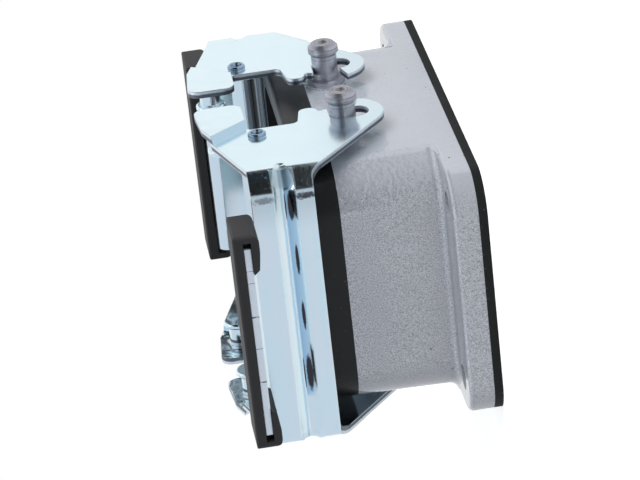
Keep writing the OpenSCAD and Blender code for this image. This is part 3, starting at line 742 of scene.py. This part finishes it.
def plating_roughness(f):
    """Low on the plating, higher on the arms, on the cut edges and where the bead runs round a bend."""
    look = f.look
    spread = f.noise(look.spread, detail=4.0, roughness=0.65)
    rough = f.slope(spread, 0.10, look.roughness - 0.05)
    rough = f.slope(f.cut, look.cut_haze, rough)
    rubbed = f.times(f.on_bend, f.minus(1.0, f.beside_bead))
    rough = f.slope(rubbed, look.rub_haze, rough)
    return f.slope(f.between(f.facing_side, 0.90, 0.98), look.arm_haze, rough)


def bead_relief(f):
    """Soft edges, with a shallower look for the bead on the crossbar's outer face."""
    look = f.look
    near_bead = f.between(f.from_bead, look.bead_half + 1.2 * MM, look.bead_half + 0.8 * MM)
    edge = f.slope(f.times(near_bead, f.bar_face), look.bead_edge - look.edge, look.edge)
    across = f.math("DIVIDE", f.off, look.bead_half)
    shallow = f.math("SUBTRACT", 1.0, f.times(across, across), clamp=True)
    deepens_at = 16.0 * MM
    deep_at = 22.5 * MM
    shallow = f.times(f.times(shallow, f.bar_face), f.between(f.aside, deep_at, deepens_at))
    return f.bump(shallow, look.bead_soft, under=f.rounded(edge))


def plating_relief(f):
    """Faint waves, fine unevenness, pits on the upper bend and dents in the inner faces of the tabs."""
    look = f.look
    waves = f.noise(look.ripple, detail=1.0)
    normal = f.bump(waves, look.ripple_height, strength=0.30, under=bead_relief(f))
    skin = f.times(f.noise(look.skin), f.slope(f.crazed, 5.0, 1.0))
    normal = f.bump(skin, look.skin_height, strength=0.7, under=normal)
    pits = f.times(f.between(f.noise(look.pit, detail=0.0), 0.76, 0.80), f.crazed)
    normal = f.bump(pits, look.pit_depth, under=normal)

    tab_start = PIN_AXIS.z + look.tab_height
    tab = f.between(f.z, tab_start, tab_start + look.tab_fade)
    tab = f.times(tab, f.between(f.out, look.tab_out + look.tab_fade, look.tab_out))
    inward = f.below(f.outward(f.ny, f.y), -0.2)
    tab = f.times(tab, f.slope(inward, 0.8, 0.2))
    dents = f.times(f.noise(look.dent_size, detail=1.0, distortion=0.6), tab)
    return f.bump(dents, look.dent, under=normal)


def plating_finish(look):
    """Bright plated sheet with painted shade and reflections on the crossbar and bends, and sheared edges."""
    f = SheetFinish("bright_plated_sheet", look)
    colour = add_cut_edges(f, plate_colour(f))
    # Painted blue shade along the bead, then painted dark reflections on the crossbar.
    colour = f.blend(painted_bead_shade(f), colour, look.shade)
    colour = f.blend(painted_bar_reflections(f), colour, look.mark)
    colour = add_bend_shades(f, colour)
    colour = f.blend(on_rivet(f), colour, look.rivet)
    f.set(Base_Color=colour, Metallic=1.0, Roughness=plating_roughness(f), Normal=plating_relief(f))
    return f


def grip_finish(look):
    """Matt moulded plastic with a fine grain and scuffs."""
    f = Finish("moulded_grip")
    grain = f.noise(look.grain, roughness=0.6)
    cloud = f.noise(look.cloud, detail=4.0, roughness=0.6)
    scuff = f.times(f.between(cloud, 0.52, 0.74), f.between(grain, 0.4, 0.7))
    # The faces that turn towards +Y get more of the worn colour.
    pale_share = f.times(f.between(f.ny, 0.5, 0.9), look.pale_share)
    colour = f.blend(f.larger(scuff, pale_share), look.plastic, look.worn)
    rough = f.slope(cloud, 0.16, 0.52)
    normal = f.bump(grain, look.grain_height, strength=0.5, under=f.rounded(look.edge))
    f.set(Base_Color=colour, Roughness=rough, Normal=normal, Specular_IOR_Level=0.3)
    return f


def thread_finish(look):
    """Bare metal of a cut thread."""
    f = Finish("cut_thread")
    streaks = f.noise(look.streak, detail=3.0)
    dull = [0.72 * level for level in look.metal]
    colour = f.blend(streaks, dull, look.metal)
    rough = f.slope(streaks, 0.2, 0.22)
    normal = f.bump(streaks, look.streak_depth, strength=0.4)
    f.set(Base_Color=colour, Metallic=1.0, Roughness=rough, Normal=normal)
    return f


class HOUSING_OT_finish_casting(bpy.types.Operator):
    """Gives the cast body its powder coat"""

    bl_idname = "housing.finish_casting"
    bl_label = "Finish Casting"

    def execute(self, context):
        look = context.scene.housing_casting
        wear(["housing_body"], casting_finish(look))
        return {"FINISHED"}


class HOUSING_OT_finish_rubber(bpy.types.Operator):
    """Gives the rim seal and the flange gasket their rubber"""

    bl_idname = "housing.finish_rubber"
    bl_label = "Finish Rubber"

    def execute(self, context):
        look = context.scene.housing_rubber
        seal = rubber_finish(
            "smooth_seal_rubber", look,
            look.seal, look.seal_roughness, look.seal_skin, look.seal_dust,
        )
        wear(["rim_seal"], seal)
        gasket = rubber_finish(
            "matt_gasket_rubber", look,
            look.gasket, look.gasket_roughness, look.gasket_skin, look.gasket_dust,
        )
        wear(["flange_gasket"], gasket)
        return {"FINISHED"}


class HOUSING_OT_finish_pins(bpy.types.Operator):
    """Gives the pivot pins their turned steel"""

    bl_idname = "housing.finish_pins"
    bl_label = "Finish Pins"

    def execute(self, context):
        look = context.scene.housing_pins
        wear(PINS, pin_finish(look))
        return {"FINISHED"}


class HOUSING_OT_finish_levers(bpy.types.Operator):
    """Gives the locking levers their bright plating"""

    bl_idname = "housing.finish_levers"
    bl_label = "Finish Levers"

    def execute(self, context):
        look = context.scene.housing_levers
        wear(LEVERS, plating_finish(look))
        return {"FINISHED"}


class HOUSING_OT_finish_grips(bpy.types.Operator):
    """Gives the lever grips their moulded plastic"""

    bl_idname = "housing.finish_grips"
    bl_label = "Finish Grips"

    def execute(self, context):
        look = context.scene.housing_grips
        wear(GRIPS, grip_finish(look))
        return {"FINISHED"}


class HOUSING_OT_cut_threads(bpy.types.Operator):
    """Winds a thread down each tapped hole in the insert bosses"""

    bl_idname = "housing.cut_threads"
    bl_label = "Cut Threads"

    def execute(self, context):
        look = context.scene.housing_threads
        mount = entry(frame["record"]["mounts"], "insert_screws")
        top = Vector(mount["pos_m"])
        radius = mount["dims"]["hole_r_mm"] * MM
        half_x = mount["dims"]["spacing_x_mm"] * MM / 2
        half_y = mount["dims"]["spacing_y_mm"] * MM / 2
        finish = thread_finish(look)
        corners = {
            "right_rear": (1, 1), "right_front": (1, -1), "left_rear": (-1, 1), "left_front": (-1, -1),
        }
        for corner, (side_x, side_y) in corners.items():
            mesh = self.ridge(look, radius)
            mesh.materials.append(finish.material)
            piece = bpy.data.objects.new("insert_thread_" + corner, mesh)
            piece.location = (top.x + side_x * half_x, top.y + side_y * half_y, top.z)
            context.scene.collection.objects.link(piece)
            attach(piece, "housing")
        return {"FINISHED"}

    def ridge(self, look, radius):
        """A closed helical ridge on the inside of a hole whose top is at the origin."""
        root = radius + look.sink
        root_half = 0.42 * look.pitch
        crest_half = 0.12 * look.pitch
        start = 0.55 * look.pitch
        run_out = look.steps / 2
        lowest_share = 0.05
        count = int(look.reach / look.pitch * look.steps)
        shape = bmesh.new()
        rows = []
        for i in range(count + 1):
            turn = -2 * math.pi * i / look.steps
            way = Vector((math.cos(turn), math.sin(turn), 0.0))
            z = -start - look.pitch * i / look.steps
            fade = min(1.0, i / run_out, (count - i) / run_out)
            crest = radius - look.depth * max(fade, lowest_share)
            profile = [(root, root_half), (crest, crest_half), (crest, -crest_half), (root, -root_half)]
            rows.append([shape.verts.new(way * r + Vector((0.0, 0.0, z + dz))) for r, dz in profile])
        for row, next_row in zip(rows, rows[1:]):
            for j in range(4):
                k = (j + 1) % 4
                shape.faces.new((row[j], row[k], next_row[k], next_row[j]))
        shape.faces.new(rows[0])
        shape.faces.new(rows[-1])
        bmesh.ops.recalc_face_normals(shape, faces=shape.faces)
        mesh = bpy.data.meshes.new("insert_thread")
        shape.to_mesh(mesh)
        shape.free()
        return mesh


class HOUSING_OT_build_stage(bpy.types.Operator):
    """Sets up the pale floor, the soft light and the camera"""

    bl_idname = "housing.build_stage"
    bl_label = "Build Stage"

    def execute(self, context):
        stage = context.scene.housing_stage
        context.scene.view_settings.view_transform = "Standard"
        self.add_floor(context, stage)
        self.add_world(context, stage)
        self.add_lamps(context, stage)
        self.add_camera(context, stage)
        return {"FINISHED"}

    def add_floor(self, context, stage):
        """A round pale floor that looks white but keeps the shadow."""
        mesh = bpy.data.meshes.new("studio_floor")
        disc = bmesh.new()
        bmesh.ops.create_circle(disc, cap_ends=True, segments=128, radius=stage.floor_radius)
        disc.to_mesh(mesh)
        disc.free()
        mesh.materials.append(self.floor_material(stage))
        floor = bpy.data.objects.new("studio_floor", mesh)
        floor.location = (0.0, 0.0, CAD_BOX[0].z - stage.floor_drop)
        context.scene.collection.objects.link(floor)

    def floor_material(self, stage):
        """A matt floor with a light of its own that the housing doesn't receive, except in reflections."""
        material = bpy.data.materials.new("studio_floor")
        material.use_nodes = True
        n = Nodes(material.node_tree)
        clouded = [0.97 * level for level in stage.floor]
        tone = n.blend(n.noise(stage.floor_cloud, detail=3.0), clouded, stage.floor)
        matt = n.add("ShaderNodeBsdfDiffuse", Color=tone, Roughness=0.5)
        path = n.add("ShaderNodeLightPath").outputs
        seen = self.seen_directly(n, path)
        seen = n.slope(path["Is Glossy Ray"], stage.floor_mirror, seen)
        strength = n.times(seen, stage.floor_glow)
        glow = n.add("ShaderNodeEmission", Color=stage.floor_light, Strength=strength)
        both = n.add("ShaderNodeAddShader", in_0=matt.outputs[0], in_1=glow.outputs[0])
        n.add("ShaderNodeOutputMaterial", Surface=both.outputs[0])
        return material

    def add_world(self, context, stage):
        """White to the camera, and in reflections a pale room with a table in front and one dark side."""
        world = bpy.data.worlds.new("studio_room")
        context.scene.world = world
        world.use_nodes = True
        n = Nodes(world.node_tree)
        way = n.coordinates["Generated"]
        height = n.absolute(n.add("ShaderNodeSeparateXYZ", in_0=way).outputs["Z"])
        dark = n.between(self.towards(n, way, stage.dark_way), 0.14, 0.26)
        dark = n.times(dark, n.between(height, 0.72, 0.45))
        table = n.between(self.towards(n, way, stage.table_way), -0.7, 0.3)
        room = n.blend(table, stage.room, stage.table)
        room = n.blend(dark, room, (stage.dark_side,) * 3)
        path = n.add("ShaderNodeLightPath").outputs
        level = n.blend(path["Is Glossy Ray"], (stage.ambient,) * 3, room)
        level = n.blend(self.seen_directly(n, path), level, (1.0, 1.0, 1.0))
        light = n.add("ShaderNodeBackground", Color=level, Strength=1.0)
        n.add("ShaderNodeOutputWorld", Surface=light.outputs[0])

    def seen_directly(self, n, path):
        """One where the camera sees a thing itself, and not by its light or in a reflection."""
        return n.larger(path["Is Camera Ray"], path["Is Transmission Ray"])

    def towards(self, n, way, azimuth):
        """How far a direction leans towards an azimuth, from minus one to one."""
        aim = (math.cos(azimuth), math.sin(azimuth), 0.0)
        return n.vector("DOT_PRODUCT", way, output="Value", in_1=aim)

    def add_lamps(self, context, stage):
        """A large soft lamp beside the housing, and a narrow strip above it for thin highlights."""
        key = self.add_lamp(context, stage, "key_softbox", stage.key_place, stage.key_power)
        key.data.shape = "SQUARE"
        key.data.size = stage.key_size
        key.visible_glossy = False
        strip = self.add_lamp(context, stage, "top_strip", stage.strip_place, stage.strip_power)
        strip.data.shape = "RECTANGLE"
        strip.data.size = stage.strip_length
        strip.data.size_y = stage.strip_width

    def add_lamp(self, context, stage, name, location, energy):
        """An area lamp that faces the housing."""
        data = bpy.data.lights.new(name, "AREA")
        data.energy = energy
        lamp = bpy.data.objects.new(name, data)
        lamp.location = location
        ray = Vector(stage.lamp_aim) - lamp.location
        lamp.rotation_euler = ray.to_track_quat("-Z", "X").to_euler()
        context.scene.collection.objects.link(lamp)
        return lamp

    def add_camera(self, context, stage):
        """A long lens at the photograph's viewing angle, rolled so that the mating side is on the left."""
        data = bpy.data.cameras.new("studio_camera")
        data.lens = stage.lens
        data.sensor_width = 36.0
        data.sensor_fit = "HORIZONTAL"
        data.clip_start = 0.01
        data.clip_end = 20.0
        camera = bpy.data.objects.new("studio_camera", data)
        quarter = math.pi / 2
        heading = Matrix.Rotation(quarter + stage.azimuth, 4, "Z")
        tilt = Matrix.Rotation(quarter - stage.elevation, 4, "X")
        roll = Matrix.Rotation(stage.roll, 4, "Z")
        step_back = Matrix.Translation((0.0, 0.0, stage.distance))
        camera.matrix_world = Matrix.Translation(stage.aim) @ heading @ tilt @ roll @ step_back
        context.scene.collection.objects.link(camera)
        context.scene.camera = camera


class HOUSING_PT_finish(bpy.types.Panel):
    """Lists the steps that finish the housing"""

    bl_idname = "HOUSING_PT_finish"
    bl_label = "Connector Housing"
    bl_space_type = "VIEW_3D"
    bl_region_type = "UI"
    bl_category = "Housing"

    def draw(self, context):
        for step in OPERATORS:
            self.layout.operator(step.bl_idname)
        for name in SETTINGS:
            box = self.layout.box()
            group = getattr(context.scene, name)
            for key in group.__annotations__:
                box.prop(group, key)


SETTINGS = {
    "housing_casting": CastingSettings,
    "housing_rubber": RubberSettings,
    "housing_pins": PinSettings,
    "housing_levers": LeverSettings,
    "housing_grips": GripSettings,
    "housing_threads": ThreadSettings,
    "housing_stage": StageSettings,
}
OPERATORS = (
    HOUSING_OT_finish_casting,
    HOUSING_OT_finish_rubber,
    HOUSING_OT_finish_pins,
    HOUSING_OT_finish_levers,
    HOUSING_OT_finish_grips,
    HOUSING_OT_cut_threads,
    HOUSING_OT_build_stage,
)


def register():
    """Adds the settings, the steps and the panel to Blender."""
    for group in SETTINGS.values():
        bpy.utils.register_class(group)
    for name, group in SETTINGS.items():
        setattr(bpy.types.Scene, name, PointerProperty(type=group))
    for step in OPERATORS:
        bpy.utils.register_class(step)
    bpy.utils.register_class(HOUSING_PT_finish)


def unregister():
    """Takes them out again."""
    bpy.utils.unregister_class(HOUSING_PT_finish)
    for step in reversed(OPERATORS):
        bpy.utils.unregister_class(step)
    for name in SETTINGS:
        delattr(bpy.types.Scene, name)
    for group in reversed(list(SETTINGS.values())):
        bpy.utils.unregister_class(group)


def main():
    """Runs each step."""
    register()
    bpy.ops.housing.finish_casting()
    bpy.ops.housing.finish_rubber()
    bpy.ops.housing.finish_pins()
    bpy.ops.housing.finish_levers()
    bpy.ops.housing.finish_grips()
    bpy.ops.housing.cut_threads()
    bpy.ops.housing.build_stage()


if __name__ == "__main__":
    main()
